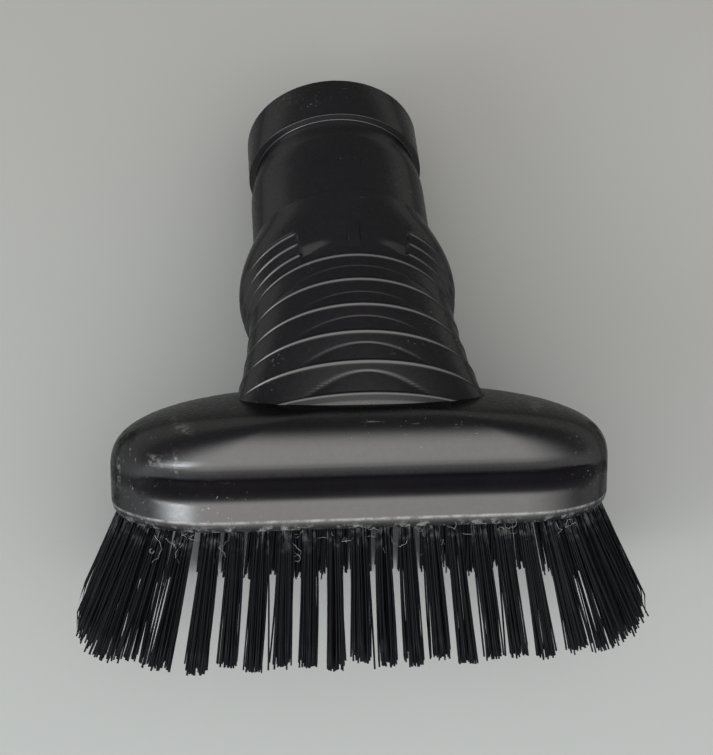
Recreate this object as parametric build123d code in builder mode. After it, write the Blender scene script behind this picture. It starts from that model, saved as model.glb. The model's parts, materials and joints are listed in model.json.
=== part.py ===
"""Stiff bristle brush for a vacuum cleaner, lying as it comes to rest on a table.

One moulded housing (tube cuff, ribbed bent neck, head shell), a bristle plate in the mouth
of the head, one tuft of bristles in each hole of the plate, and the anchor wires that hold
the tufts. Millimetres, +Z up. The table is Z = 0 and the origin is in the middle of the
object's footprint. X runs along the head, +Y towards the tube.
"""
import os
from math import atan2, cos, hypot, pi, radians, sin

from build123d import *

# Tube cuff. Distances along the tube are measured from its mouth.
TUBE_R = 19.0
TUBE_ANGLE = 45.7
TUBE_REACH = 82.1
TUBE_MEETS_UP = 10.7
COLLAR_R = 19.2
COLLAR_LENGTH = 10.9
MOUTH_ROUND = 0.6
WAIST_R = 17.7
WAIST_CHAMFER = 0.7
WAIST_LENGTH = 6.5
TUBE_LENGTH = 60.0
BORE_R = 16.2
BORE_LENGTH = 36.0
PASSAGE_R = 15.0
KEY_WIDTH = 2.5
KEY_RISE = 0.35
KEY_START = 39.0
KEY_LENGTH = 9.0

# Ribbed neck. The front line of the neck carries the ribs, one pitch apart.
RIB_COUNT = 6
RIB_START = 50.0
RIB_PITCH = 6.1
RIB_DEPTH = 1.1
RIB_SHARE = 0.36
RIB_TILT = 64.0
RIB_TILT_STEP = 2.0
RIB_REACH = 31.0
SIDE_RIB_COUNT = 3
SIDE_RIB_PITCH = 2.9
SIDE_RIB_THICK = 1.5
NECK_FRONT_TURN = 4.3
NECK_FRONT_DROP = 0.42
NECK_BACK_PITCH = 3.4
NECK_BACK_TURN = 21.0
NECK_WAIST_W = 21.2
NECK_FOOT_W = 25.2
NECK_SUNK = 8.0
NECK_WALL = 2.6
LOBE_START = 33.0
LOBE_TOP = 40.5
LOBE_W = 22.6

# Head shell. Heights are measured up from the rim of the mouth.
HEAD_W = 47.9
HEAD_R = 20.5
HEAD_WALL_UP = 7.0
HEAD_CROWN = 13.9
HEAD_ROUNDNESS = 3.0
HEAD_FLAT_SHARE = 0.985
RIM_BEVEL_UP = 1.8
RIM_BEVEL_IN = 0.7
SHELL_WALL = 2.0
HEAD_RISES = (0.1, 0.22, 0.36, 0.5, 0.62, 0.72, 0.8, 0.87, 0.93, HEAD_FLAT_SHARE)
BROW_START = 0.36
BROW_END = 1.03
BROW_ROUNDNESS = 4.0
BROW_LEVEL = 13.5
RECESS_UP = 6.1
RECESS_FLOOR_UP = 7.3
RECESS_DEPTH = 2.1

# Bristle plate, tuft holes and suction slot.
PLATE_THICK = 5.4
PLATE_CLEARANCE = 0.1
PLATE_WALL = 1.7
SLOT_LENGTH = 74.0
SLOT_WIDTH = 24.0
TUFT_COUNT = 50
TUFT_PHASE = 0.35
TUFT_INSET = 3.4
TUFT_HOLE_R = 1.55
TUFT_HOLE_DEPTH = 4.2

# Tufts. Each leans out from the middle of the head, and the long row fans to its ends.
TUFT_LENGTH = 25.0
TUFT_LENGTH_SPREAD = 0.8
TUFT_CLEARANCE = 0.1
TUFT_TIP_ALONG = 2.05
TUFT_TIP_ACROSS = 1.6
TUFT_CORNERS = 10
FLUTE_SHARE = 0.84
TUFT_LEAN = 0.38
TUFT_FAN = 0.0043
TUFT_VARIATION = 2.4
TOOTH_COUNT = 3
TOOTH_VARIATION = 1.9
TOOTH_LENGTH = 2.6
TIP_SPAN = 2.4

# Anchor wires, each across its hole and through the fold of its tuft.
WIRE_THICK = 0.4
WIRE_HEIGHT = 1.2
WIRE_UP = 2.5
WIRE_CLEARANCE = 0.05

# Where the lying object touches the table: the lower edge of the tube's mouth and the
# outer corner of the back tufts' tips. Both are (back, up) in the head's own frame.
TURN = radians(TUBE_ANGLE)
MOUTH_BACK = TUBE_REACH * sin(TURN)
MOUTH_UP = TUBE_MEETS_UP + TUBE_REACH * cos(TURN)
EDGE_BACK = MOUTH_BACK + COLLAR_R * cos(TURN)
EDGE_UP = MOUTH_UP - COLLAR_R * sin(TURN)
ROOT_R = HEAD_R - TUFT_INSET
LEAN_ANGLE = atan2(TUFT_LEAN, 1)
FULL_LENGTH = TUFT_LENGTH + TUFT_LENGTH_SPREAD
TIP_BACK = ROOT_R + FULL_LENGTH * sin(LEAN_ANGLE) + TUFT_TIP_ACROSS * cos(LEAN_ANGLE)
TIP_UP = -FULL_LENGTH * cos(LEAN_ANGLE) + TUFT_TIP_ACROSS * sin(LEAN_ANGLE)
LYING = atan2(EDGE_BACK - TIP_BACK, EDGE_UP - TIP_UP)


def table_y(back, up):
    """Distance along the table of a point of the head's frame, from below the rim."""
    return up * cos(LYING) + back * sin(LYING)


def table_z(back, up):
    """Height over the table of a point of the head's frame, from the rim's middle."""
    return up * sin(LYING) - back * cos(LYING)


FAR_Y = table_y(MOUTH_BACK - COLLAR_R * cos(TURN), MOUTH_UP + COLLAR_R * sin(TURN))
NEAR_Y = table_y(-TIP_BACK, TIP_UP)
HEAD = Plane(
    origin=(0, -(FAR_Y + NEAR_Y) / 2, -table_z(EDGE_BACK, EDGE_UP)),
    x_dir=(1, 0, 0),
    z_dir=(0, cos(LYING), sin(LYING)),
)
TUBE = Plane(
    origin=HEAD.from_local_coords((0, MOUTH_BACK, MOUTH_UP)),
    x_dir=(1, 0, 0),
    z_dir=(0, cos(LYING - TURN), sin(LYING - TURN)),
)
# The side view: its x runs to the head's front and its y up from the rim.
SIDE = Plane(origin=HEAD.origin, x_dir=-HEAD.y_dir, z_dir=(-1, 0, 0))
# The tube's half section: its x is the radius and its y the distance from the mouth.
TUBE_HALF = Plane(origin=TUBE.origin, x_dir=(1, 0, 0), z_dir=-TUBE.y_dir)


def tube_point(depth, radius):
    """Front and up of a point on the tube, on its front line where radius is positive."""
    front = -MOUTH_BACK + depth * sin(TURN) + radius * cos(TURN)
    up = MOUTH_UP - depth * cos(TURN) + radius * sin(TURN)
    return front, up


def rib_front(k):
    """Front and up of the neck's front line at rib k. It turns in a little to the head."""
    front, up = tube_point(RIB_START + k * RIB_PITCH, COLLAR_R)
    turn_in = NECK_FRONT_TURN * (max(k, 0) / (RIB_COUNT - 1)) ** 2
    return front - turn_in, up - turn_in * NECK_FRONT_DROP


def rib_back(k):
    """Front and up of the neck's back line at rib k."""
    front, up = tube_point(RIB_START, -COLLAR_R)
    heading = TURN + radians(NECK_BACK_TURN)
    return front + k * NECK_BACK_PITCH * sin(heading), up - k * NECK_BACK_PITCH * cos(heading)


def ring_plane(front, back):
    """Plane of a neck section through a front and a back point, with its half depth."""
    half_depth = hypot(front[0] - back[0], front[1] - back[1]) / 2
    middle = SIDE.from_local_coords(((front[0] + back[0]) / 2, (front[1] + back[1]) / 2, 0))
    towards = SIDE.from_local_coords((*back, 0)) - SIDE.from_local_coords((*front, 0))
    plane = Plane(origin=middle, x_dir=(1, 0, 0), z_dir=Vector(1, 0, 0).cross(towards))
    return plane, half_depth


def neck_sections(inset):
    """Front point, back point and half width of each neck section, tube end first."""
    sections = []
    for depth, half_width in (
        (LOBE_START, TUBE_R - 0.3),
        ((LOBE_START + LOBE_TOP) / 2, (TUBE_R + LOBE_W) / 2 + 0.4),
        (LOBE_TOP, LOBE_W),
        ((LOBE_TOP + RIB_START) / 2, (LOBE_W + NECK_WAIST_W) / 2),
    ):
        radius = TUBE_R - 0.2
        sections.append((tube_point(depth, radius - inset), tube_point(depth, -radius), half_width))
    for k in range(RIB_COUNT):
        front = rib_front(k)
        back = rib_back(k)
        share = (k / (RIB_COUNT - 1)) ** 2
        half_width = NECK_WAIST_W + share * (NECK_FOOT_W - NECK_WAIST_W)
        sections.append(((front[0] - inset, front[1] - inset / 2), back, half_width))
    front = rib_front(RIB_COUNT - 1)
    back = rib_back(RIB_COUNT - 1)
    sunk_front = (front[0] - inset, front[1] - NECK_SUNK)
    sections.append((sunk_front, (back[0] + inset, back[1] - NECK_SUNK / 2), NECK_FOOT_W))
    return sections


def neck_body(inset):
    """The neck without ribs, drawn in by an inset at its front and sides."""
    with BuildPart() as body:
        for front, back, half_width in neck_sections(inset):
            plane, half_depth = ring_plane(front, back)
            with BuildSketch(plane):
                Ellipse(half_width - inset, half_depth)
        loft()
    return body.part


def neck_passage():
    """The air's way from the tube's bore to the head, a wall's thickness inside the neck."""
    inset = RIB_DEPTH + NECK_WALL
    with BuildPart() as passage:
        with BuildSketch(TUBE.offset(-BORE_LENGTH)):
            Circle(PASSAGE_R)
        for front, back, half_width in neck_sections(RIB_DEPTH)[4::2]:
            plane, half_depth = ring_plane(front, back)
            with BuildSketch(plane):
                Ellipse(half_width - inset, half_depth - NECK_WALL)
        loft()
    return passage.part


def rib_line(k):
    """Outer and inner end of rib plane k in the side view, both as front and up."""
    front, up = rib_front(k)
    tilt = radians(RIB_TILT - k * RIB_TILT_STEP)
    outer = (front + 4 * cos(tilt), up + 4 * sin(tilt))
    inner = (front - RIB_REACH * cos(tilt), up - RIB_REACH * sin(tilt))
    return outer, inner


def side_rib_line(depth):
    """Ends of a side rib's plane, square to the first rib's, at a depth down the tube."""
    front, up = tube_point(depth, COLLAR_R)
    tilt = radians(RIB_TILT)
    outer = (front + 4 * cos(tilt), up + 4 * sin(tilt))
    inner = (front - 2 * RIB_REACH * cos(tilt), up - 2 * RIB_REACH * sin(tilt))
    return outer, inner


def rib_bands():
    """Side-view outlines of what stands proud on the neck: the lobe and every rib."""
    bands = []
    lobe_end = RIB_START - SIDE_RIB_COUNT * SIDE_RIB_PITCH
    bands.append((side_rib_line(lobe_end - 22), side_rib_line(lobe_end)))
    for n in range(1, SIDE_RIB_COUNT):
        depth = lobe_end + n * SIDE_RIB_PITCH
        bands.append((side_rib_line(depth - SIDE_RIB_THICK), side_rib_line(depth)))
    for k in range(RIB_COUNT):
        bands.append((rib_line(k), rib_line(k + RIB_SHARE)))
    return bands


def head_share(rise):
    """How much of the head's length and back is left at a share of the crown's height."""
    return (1 - rise ** HEAD_ROUNDNESS) ** (1 / HEAD_ROUNDNESS)


def brow_share(rise):
    """The same for the head's front, which stays upright for longer and turns in late."""
    turned = max(0, rise - BROW_START) / (BROW_END - BROW_START)
    return (1 - turned ** BROW_ROUNDNESS) ** (1 / BROW_ROUNDNESS)


def recess_depth(level):
    """Depth of the recess along the front, under the brow, at a height over the rim."""
    if level <= RECESS_UP:
        return 0
    if level >= BROW_LEVEL:
        return 0
    if level <= RECESS_FLOOR_UP:
        return RECESS_DEPTH * (level - RECESS_UP) / (RECESS_FLOOR_UP - RECESS_UP)
    return RECESS_DEPTH * ((BROW_LEVEL - level) / (BROW_LEVEL - RECESS_FLOOR_UP)) ** 2


def head_size(level, rise, wall):
    """Length, front and back of the head's outline at a height, drawn in by a wall."""
    length = 2 * (HEAD_W - wall) * head_share(rise)
    front = (HEAD_R - wall) * brow_share(rise) - recess_depth(level)
    back = (HEAD_R - wall) * head_share(rise)
    return length, front, back


def head_body(wall, top_wall):
    """The head's solid form, drawn in by a wall at the sides and at the crown."""
    crown = HEAD_CROWN - top_wall
    rim = (0, 0, wall + RIM_BEVEL_IN)
    bevel = (RIM_BEVEL_UP, 0, wall)
    band = (RECESS_UP, 0, wall)
    recess = (RECESS_FLOOR_UP, 0, wall)
    brow = [(HEAD_WALL_UP + rise * crown, rise, wall) for rise in HEAD_RISES]
    with BuildPart() as body:
        for sections in ((rim, bevel), (bevel, band), (band, recess), (recess, *brow)):
            for level, rise, inset in sections:
                length, front, back = head_size(level, rise, inset)
                with BuildSketch(HEAD.offset(level)):
                    with Locations((0, (back - front) / 2)):
                        SlotOverall(length, front + back)
            loft(ruled=len(sections) == 2)
    return body.part


def stadium_point(distance):
    """Place on the tuft ring and its outward direction, from the middle of the front."""
    straight = HEAD_W - HEAD_R
    arc = pi * ROOT_R
    length = 4 * straight + 2 * arc
    d = distance % length
    if d <= straight:
        return (d, -ROOT_R), (0, -1)
    d -= straight
    if d <= arc:
        turn = d / ROOT_R
        out = (sin(turn), -cos(turn))
        return (straight + ROOT_R * out[0], ROOT_R * out[1]), out
    d -= arc
    if d <= 2 * straight:
        return (straight - d, ROOT_R), (0, 1)
    d -= 2 * straight
    if d <= arc:
        turn = d / ROOT_R
        out = (-sin(turn), cos(turn))
        return (-straight + ROOT_R * out[0], ROOT_R * out[1]), out
    d -= arc
    return (-straight + d, -ROOT_R), (0, -1)


RING_LENGTH = 4 * (HEAD_W - HEAD_R) + 2 * pi * ROOT_R
TUFT_PITCH = RING_LENGTH / TUFT_COUNT


# Housing
HALF_TUBE = (
    (0, 0),
    (COLLAR_R - MOUTH_ROUND, 0),
    (COLLAR_R, -MOUTH_ROUND),
    (COLLAR_R, -COLLAR_LENGTH),
    (WAIST_R, -COLLAR_LENGTH - WAIST_CHAMFER),
    (TUBE_R, -COLLAR_LENGTH - WAIST_CHAMFER - WAIST_LENGTH),
    (TUBE_R, -TUBE_LENGTH),
    (0, -TUBE_LENGTH),
)
# The tube would leave the back of the head below this line of the side view.
BACK_CUT = (rib_back(0), rib_back(RIB_COUNT - 1))

with BuildPart() as tube:
    with BuildSketch(TUBE_HALF):
        with BuildLine():
            Polyline(*HALF_TUBE, close=True)
        make_face()
    revolve(axis=Axis(TUBE.origin, TUBE.z_dir))
    with BuildSketch(TUBE.offset(-KEY_START)):
        with Locations((0, -TUBE_R)):
            Rectangle(KEY_WIDTH, 2 * KEY_RISE)
    extrude(amount=-KEY_LENGTH)
    with BuildSketch(SIDE):
        with BuildLine():
            Polyline(
                BACK_CUT[0],
                BACK_CUT[1],
                (BACK_CUT[1][0] + 60, BACK_CUT[1][1]),
                (BACK_CUT[1][0] + 60, BACK_CUT[1][1] - 60),
                (BACK_CUT[0][0], BACK_CUT[1][1] - 60),
                close=True,
            )
        make_face()
    extrude(amount=2 * TUBE_R, both=True, mode=Mode.SUBTRACT)

with BuildPart() as ribs:
    for first, second in rib_bands():
        with BuildSketch(SIDE):
            with BuildLine():
                Polyline(first[0], first[1], second[1], second[0], close=True)
            make_face()
        extrude(amount=2 * LOBE_W, both=True)
    add(neck_body(0), mode=Mode.INTERSECT)

with BuildPart() as housing:
    add(head_body(0, 0))
    add(neck_body(RIB_DEPTH))
    add(ribs.part)
    add(tube.part)
    # Hollow head: the pocket of the bristle plate, then the plenum over it.
    with BuildSketch(HEAD):
        SlotOverall(2 * (HEAD_W - PLATE_WALL), 2 * (HEAD_R - PLATE_WALL))
    extrude(amount=PLATE_THICK, mode=Mode.SUBTRACT)
    add(head_body(SHELL_WALL + 1.2, SHELL_WALL), mode=Mode.SUBTRACT)
    # Bore for the wand, then the passage down through the neck into the plenum.
    with BuildSketch(TUBE):
        Circle(BORE_R)
    extrude(amount=-BORE_LENGTH, mode=Mode.SUBTRACT)
    add(neck_passage(), mode=Mode.SUBTRACT)


# Bristle plate
HOLES = [stadium_point((n + TUFT_PHASE) * TUFT_PITCH) for n in range(TUFT_COUNT)]

with BuildPart() as bristle_plate:
    with BuildSketch(HEAD):
        side = PLATE_WALL + PLATE_CLEARANCE
        SlotOverall(2 * (HEAD_W - side), 2 * (HEAD_R - side))
        SlotOverall(SLOT_LENGTH, SLOT_WIDTH, mode=Mode.SUBTRACT)
    extrude(amount=PLATE_THICK)
    with BuildSketch(HEAD):
        for spot, out in HOLES:
            with Locations(spot):
                Circle(TUFT_HOLE_R)
    extrude(amount=TUFT_HOLE_DEPTH, mode=Mode.SUBTRACT)


def tuft_outline(along, across):
    """Fluted outline of a bundle, its corners in and out by turns."""
    corners = []
    for n in range(TUFT_CORNERS):
        reach = 1 if n % 2 == 0 else FLUTE_SHARE
        turn = 2 * pi * n / TUFT_CORNERS
        corners.append((along * reach * cos(turn), across * reach * sin(turn)))
    return corners


def ragged_tip(number, length):
    """Side outline of a bundle that ends in teeth of different lengths."""
    outline = [(-TIP_SPAN, -1), (-TIP_SPAN, length - TOOTH_LENGTH)]
    for n in range(TOOTH_COUNT):
        x = TIP_SPAN * (2 * (n + 0.5) / TOOTH_COUNT - 1)
        fall = 0.5 - 0.5 * cos(TUFT_VARIATION * number + TOOTH_VARIATION * n)
        outline.append((x - TIP_SPAN / TOOTH_COUNT, length - TOOTH_LENGTH * (0.7 + 0.3 * fall)))
        outline.append((x, length - TOOTH_LENGTH * 0.5 * fall))
    outline.append((TIP_SPAN, length - TOOTH_LENGTH))
    outline.append((TIP_SPAN, -1))
    return outline


def tuft_planes(spot, out):
    """Planes across a tuft's root and shank and along its wire, x along the row."""
    foot = HEAD.from_local_coords((*spot, 0))
    fan = TUFT_FAN * spot[0] * abs(out[1])
    axis = Vector(TUFT_LEAN * out[0] + fan, TUFT_LEAN * out[1], -1)
    heading = HEAD.from_local_coords(axis) - HEAD.origin
    sideways = HEAD.from_local_coords((-out[1], out[0], 0)) - HEAD.origin
    root = Plane(origin=foot, x_dir=sideways, z_dir=-HEAD.z_dir)
    across = heading.cross(sideways)
    shank = Plane(origin=foot, x_dir=across.cross(heading), z_dir=heading)
    return root, shank


def tuft_part(number, spot, out):
    """One bundle: a root folded over its wire, a shank that widens, and a ragged tip."""
    length = TUFT_LENGTH + TUFT_LENGTH_SPREAD * sin(TUFT_VARIATION * number)
    root_r = TUFT_HOLE_R - TUFT_CLEARANCE
    root, shank = tuft_planes(spot, out)
    with BuildPart() as bundle:
        with BuildSketch(root):
            Polygon(*tuft_outline(root_r, root_r), align=None)
        with BuildSketch(shank.offset(length)):
            Polygon(*tuft_outline(TUFT_TIP_ALONG, TUFT_TIP_ACROSS), align=None)
        loft(ruled=True)
        with BuildSketch(Plane(origin=shank.origin, x_dir=shank.x_dir, z_dir=-shank.y_dir)):
            with BuildLine():
                Polyline(*ragged_tip(number, length), close=True)
            make_face()
        extrude(amount=2 * TUFT_TIP_ALONG, both=True, mode=Mode.INTERSECT)
        with BuildSketch(root):
            Polygon(*tuft_outline(root_r, root_r), align=None)
        extrude(amount=-(TUFT_HOLE_DEPTH - TUFT_CLEARANCE))
        with BuildSketch(root.offset(-WIRE_UP + WIRE_CLEARANCE)):
            Rectangle(4 * root_r, WIRE_THICK + 2 * WIRE_CLEARANCE)
        extrude(amount=-(WIRE_HEIGHT + 2 * WIRE_CLEARANCE), mode=Mode.SUBTRACT)
    return bundle.part


os.makedirs("parts", exist_ok=True)

housing.part.label = "housing"
export_step(housing.part, "parts/housing.step")
bristle_plate.part.label = "bristle_plate"
export_step(bristle_plate.part, "parts/bristle_plate.step")

for n, (spot, out) in enumerate(HOLES):
    with BuildPart() as tuft:
        add(tuft_part(n, spot, out))
    tuft.part.label = f"tuft_{n + 1:02d}"
    export_step(tuft.part, f"parts/tuft_{n + 1:02d}.step")

# Anchor wires, one across each hole
with BuildPart() as anchor_wires:
    for spot, out in HOLES:
        root, shank = tuft_planes(spot, out)
        with BuildSketch(root.offset(-WIRE_UP)):
            Rectangle(2 * (TUFT_HOLE_R - WIRE_CLEARANCE), WIRE_THICK)
        extrude(amount=-WIRE_HEIGHT)
anchor_wires.part.label = "anchor_wires"
export_step(anchor_wires.part, "parts/anchor_wires.step")
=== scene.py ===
"""Looks of the stiff bristle vacuum brush, around its solid parts.

The housing is shown by a finer skin with the same form: a lathed tube cuff, a neck of ribbed
loops and a head shell, hollowed like the solid one. Every tuft is shown by its loose
filaments. Dust, lint and wear are added where use has left them.
Lengths are millimetres in the head's own frame (x along the head, d towards its bristled
front, n up from its rim) until to_row() turns them into metres of the frame loaded below.
"""
import json
import math

import bmesh
import bpy
import numpy as np
from mathutils import Matrix, Vector


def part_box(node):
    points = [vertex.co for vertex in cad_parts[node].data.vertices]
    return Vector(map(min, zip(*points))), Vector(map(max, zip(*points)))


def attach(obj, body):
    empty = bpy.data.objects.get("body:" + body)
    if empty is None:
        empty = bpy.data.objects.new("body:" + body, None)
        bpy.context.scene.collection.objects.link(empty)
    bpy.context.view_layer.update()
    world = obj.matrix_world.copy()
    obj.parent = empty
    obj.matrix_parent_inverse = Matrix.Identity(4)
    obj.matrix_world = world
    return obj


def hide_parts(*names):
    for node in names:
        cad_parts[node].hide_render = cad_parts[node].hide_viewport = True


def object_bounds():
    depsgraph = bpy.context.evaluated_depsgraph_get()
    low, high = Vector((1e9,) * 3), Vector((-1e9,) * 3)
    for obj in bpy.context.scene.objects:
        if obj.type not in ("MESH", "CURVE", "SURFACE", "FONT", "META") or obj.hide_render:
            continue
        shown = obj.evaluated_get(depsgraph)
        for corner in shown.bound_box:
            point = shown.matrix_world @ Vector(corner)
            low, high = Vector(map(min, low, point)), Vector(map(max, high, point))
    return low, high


MM = 0.001
rng = np.random.default_rng(4)

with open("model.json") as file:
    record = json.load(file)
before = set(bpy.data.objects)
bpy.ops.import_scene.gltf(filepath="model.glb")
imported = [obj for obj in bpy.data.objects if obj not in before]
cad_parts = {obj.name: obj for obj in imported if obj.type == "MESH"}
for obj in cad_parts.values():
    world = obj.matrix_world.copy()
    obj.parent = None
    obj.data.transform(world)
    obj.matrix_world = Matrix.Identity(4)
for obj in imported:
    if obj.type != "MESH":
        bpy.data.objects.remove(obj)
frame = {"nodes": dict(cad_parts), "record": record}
SIZE_BEFORE = [list(corner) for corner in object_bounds()]

# Dimensions of the housing
TUBE_TURN = math.radians(45.7)      # between the tube and the head's own up
TUBE_REACH = 82.1                   # from where the tube's axis meets the head to its mouth
TUBE_MEETS_UP = 10.7
TUBE_R = 19.0
COLLAR_R = 19.2
COLLAR_LENGTH = 10.9
WAIST_R = 17.7
WAIST_CHAMFER = 0.7
WAIST_LENGTH = 6.5
MOUTH_ROUND = 0.6
BORE_R = 16.2
BORE_LENGTH = 36.0
PASSAGE_R = 15.0
KEY_START = 39.0
KEY_LENGTH = 9.0
KEY_WIDTH = 2.5
KEY_RISE = 0.35
# Sections along the key (share of its length, of its rise) and their outline (across, up).
KEY_SECTIONS = ((0, 0.0), (0.15, 0.55), (0.3, 1.0), (0.7, 1.0), (0.85, 0.55), (1, 0.0))
KEY_OUTLINE = ((-1, -3), (-1, 0), (-0.85, 0.8), (-0.6, 1), (0.6, 1), (0.85, 0.8), (1, 0), (1, -3))

RIB_COUNT = 6
RIB_START = 50.0
RIB_PITCH = 6.1
RIB_DEPTH = 1.0
RIB_TILT = 64.0
RIB_TILT_STEP = 2.0
SIDE_RIB_PITCH = 2.9
SIDE_RIB_COUNT = 3
TILT_FROM = -2.8                    # in rib pitches from the first rib, as are k and levels
TILT_TO = -1.5
FRONT_TURN = 2.2
FRONT_DROP = 0.42
FOOT_DROP = 1.67
FOOT_DROP_FROM = 2
FOOT_DROP_POWER = 1.75
FULLER_FRONT = 0.12
BACK_TURN = math.radians(21)
BACK_SOFTNESS = 1.2                 # how softly the back's two lines meet
BACK_PROUD = 0.15
NECK_SUNK = 0.2                     # how far the neck starts inside the tube
LOBE_START = 33.0
LOBE_TOP = 40.5
LOBE_W = 22.6
WAIST_W = 21.0
FOOT_W = 26.6
FOOT_SPREAD_POWER = 1.6

HEAD_W = 47.9
HEAD_R = 20.5
HEAD_WALL_UP = 7.0
HEAD_CROWN = 13.9
HEAD_ROUNDNESS = 3.0
RIM_BEVEL_UP = 1.8
RIM_BEVEL_IN = 0.9
RIM_BEVEL = ((0, RIM_BEVEL_IN), (0.8, 0.32), (1.5, 0.08), (RIM_BEVEL_UP, 0.015), (2.2, 0))
BROW_START = 0.36
BROW_END = 1.03
BROW_ROUNDNESS = 4.0
PLATE_THICK = 5.4
PLATE_WALL = 1.7
SHELL_WALL = 2.0

# How the head lies: its up and front, and the middle of its rim
mount = next(m for m in frame["record"]["mounts"] if m["name"] == "wand_bore")
axis = Vector(mount["axis"])
LYING = math.atan2(axis.z, axis.y) + TUBE_TURN
UP = Vector((0, math.cos(LYING), math.sin(LYING)))
FRONT = Vector((0, -math.sin(LYING), math.cos(LYING)))
low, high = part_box("bristle_plate")
RIM = (low + high) / 2 - UP * (PLATE_THICK / 2 * MM)


def to_row(points):
    """Points (x, d, n) in millimetres of the head's frame as metres of the loaded frame."""
    p = np.asarray(points, float).reshape(-1, 3) * MM
    basis = np.array([[1, 0, 0], list(FRONT), list(UP)])
    return p @ basis + np.array(RIM)


def mesh_object(name, points, faces):
    """An object from points in the head's frame."""
    mesh = bpy.data.meshes.new(name)
    mesh.from_pydata([tuple(p) for p in to_row(points)], [], faces)
    mesh.update()
    obj = bpy.data.objects.new(name, mesh)
    bpy.context.scene.collection.objects.link(obj)
    return obj


def grid_faces(rows, cols, first=0):
    """Quads of a grid of rows of points, each row closed to a loop."""
    faces = []
    for r in range(rows - 1):
        for c in range(cols):
            a = first + r * cols + c
            b = first + r * cols + (c + 1) % cols
            faces.append((a, b, b + cols, a + cols))
    return faces


def closed_loops(name, loops):
    """A solid skinned over loops of equal point counts, closed by a cap at each end."""
    loops = np.asarray(loops, float)
    rows, cols = loops.shape[:2]
    faces = grid_faces(rows, cols)
    faces.append(tuple(range(cols - 1, -1, -1)))
    faces.append(tuple((rows - 1) * cols + c for c in range(cols)))
    obj = mesh_object(name, loops.reshape(-1, 3), faces)
    fix_normals(obj)
    return obj


def fix_normals(obj):
    """Turns all faces outwards and splits the end caps into triangles."""
    bm = bmesh.new()
    bm.from_mesh(obj.data)
    bmesh.ops.recalc_face_normals(bm, faces=bm.faces)
    bmesh.ops.triangulate(bm, faces=[f for f in bm.faces if len(f.verts) > 4])
    bm.to_mesh(obj.data)
    bm.free()


def smooth_step(edge_a, edge_b, x):
    """A soft step from 0 at edge_a to 1 at edge_b."""
    t = np.clip((x - edge_a) / (edge_b - edge_a), 0, 1)
    return t * t * (3 - 2 * t)


# Tube cuff
MOUTH_D = -TUBE_REACH * math.sin(TUBE_TURN)
MOUTH_N = TUBE_MEETS_UP + TUBE_REACH * math.cos(TUBE_TURN)


def tube_point(depth, radius):
    """(d, n) of a point on the tube: its front line where radius is positive."""
    d = MOUTH_D + depth * math.sin(TUBE_TURN) + radius * math.cos(TUBE_TURN)
    n = MOUTH_N - depth * math.cos(TUBE_TURN) + radius * math.sin(TUBE_TURN)
    return d, n


def lathe(name, profile, turns=160):
    """A solid turned around the tube's axis from (depth, radius) pairs, open ends capped."""
    angle = np.linspace(0, 2 * np.pi, turns, endpoint=False)
    loops = []
    for depth, radius in profile:
        d, n = tube_point(depth, radius * np.cos(angle))
        loops.append(np.stack([radius * np.sin(angle), d, n], 1))
    return closed_loops(name, loops)


COLLAR_END = COLLAR_LENGTH + WAIST_CHAMFER
tube = lathe(
    "tube_form",
    [
        (0, COLLAR_R - MOUTH_ROUND),
        (0.08, COLLAR_R - 0.3),
        (0.3, COLLAR_R - 0.08),
        (MOUTH_ROUND, COLLAR_R),
        (COLLAR_LENGTH - 0.06, COLLAR_R),
        (COLLAR_LENGTH, COLLAR_R - 0.05),
        (COLLAR_LENGTH + 0.16, WAIST_R + 0.2),
        (COLLAR_LENGTH + 0.22, WAIST_R + 0.12),
        (COLLAR_LENGTH + 0.32, WAIST_R + 0.07),
        (COLLAR_END + 0.1, WAIST_R),
        (COLLAR_END + 0.7 * WAIST_LENGTH, TUBE_R - 0.35),
        (COLLAR_END + WAIST_LENGTH, TUBE_R - 0.05),
        (COLLAR_END + 1.3 * WAIST_LENGTH, TUBE_R),
        (RIB_START - 8, TUBE_R),
        (RIB_START, TUBE_R),
    ],
)


def key_loops():
    """The small key along the tube's front line, its edges rounded over."""
    loops = []
    for share, rise in KEY_SECTIONS:
        loop = []
        for across, up in KEY_OUTLINE:
            radius = TUBE_R + KEY_RISE * (up * rise if up > 0 else up)
            d, n = tube_point(KEY_START + share * KEY_LENGTH, radius)
            loop.append((across * KEY_WIDTH / 2, d, n))
        loops.append(loop)
    return loops


key = closed_loops("key_form", key_loops())

# Ribbed neck
BACK_END = tube_point(RIB_START, -TUBE_R)
BACK_HEADING = TUBE_TURN + BACK_TURN


def front_line(k):
    """(d, n) of the neck's front line, k rib pitches below the first rib."""
    d, n = tube_point(RIB_START + k * RIB_PITCH, COLLAR_R)
    turn_in = FRONT_TURN * (max(k, 0) / (RIB_COUNT - 1)) ** 2
    foot = max(k - FOOT_DROP_FROM, 0) / (RIB_COUNT - 1 - FOOT_DROP_FROM)
    return d - turn_in, n - turn_in * FRONT_DROP - FOOT_DROP * foot ** FOOT_DROP_POWER


def ring_tilt(k):
    """Angle of a ring's plane in the side view, from square to the tube to the ribs' tilt."""
    square = 90 - math.degrees(TUBE_TURN)
    if k < 0:
        share = float(smooth_step(TILT_FROM, TILT_TO, k))
        return math.radians(square + share * (RIB_TILT - square))
    return math.radians(RIB_TILT - k * RIB_TILT_STEP)


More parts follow.
